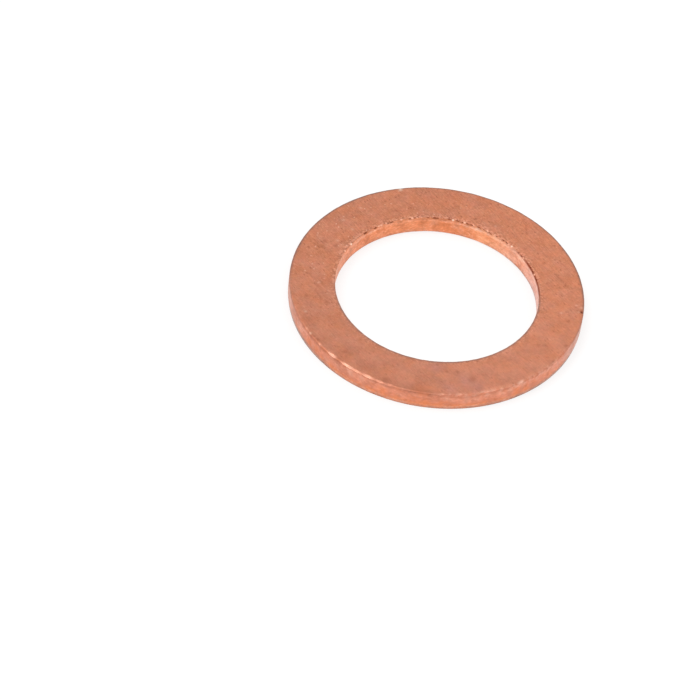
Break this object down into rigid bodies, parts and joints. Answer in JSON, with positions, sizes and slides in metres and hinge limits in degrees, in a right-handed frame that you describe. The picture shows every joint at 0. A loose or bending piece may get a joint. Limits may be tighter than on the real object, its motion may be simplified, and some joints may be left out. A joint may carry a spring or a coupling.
{
  "type": "copper crush washer",
  "caption": "Flat ring of soft copper with a plain round hole, squeezed between a bolt head and a machined face to seal oil, fuel or brake fluid.",
  "frame": {"origin": "centre of the ring, on the lower face that it rests on", "axes": "+Z along the hole's axis, towards the upper face, whose outer edge is the rolled one; the ring is round, so X and Y are free"},
  "size_m": [0.015, 0.015, 0.001],
  "materials": {
    "copper": "satin"
  },
  "bodies": {
    "root": {"washer": "copper"}
  },
  "joints": []
}
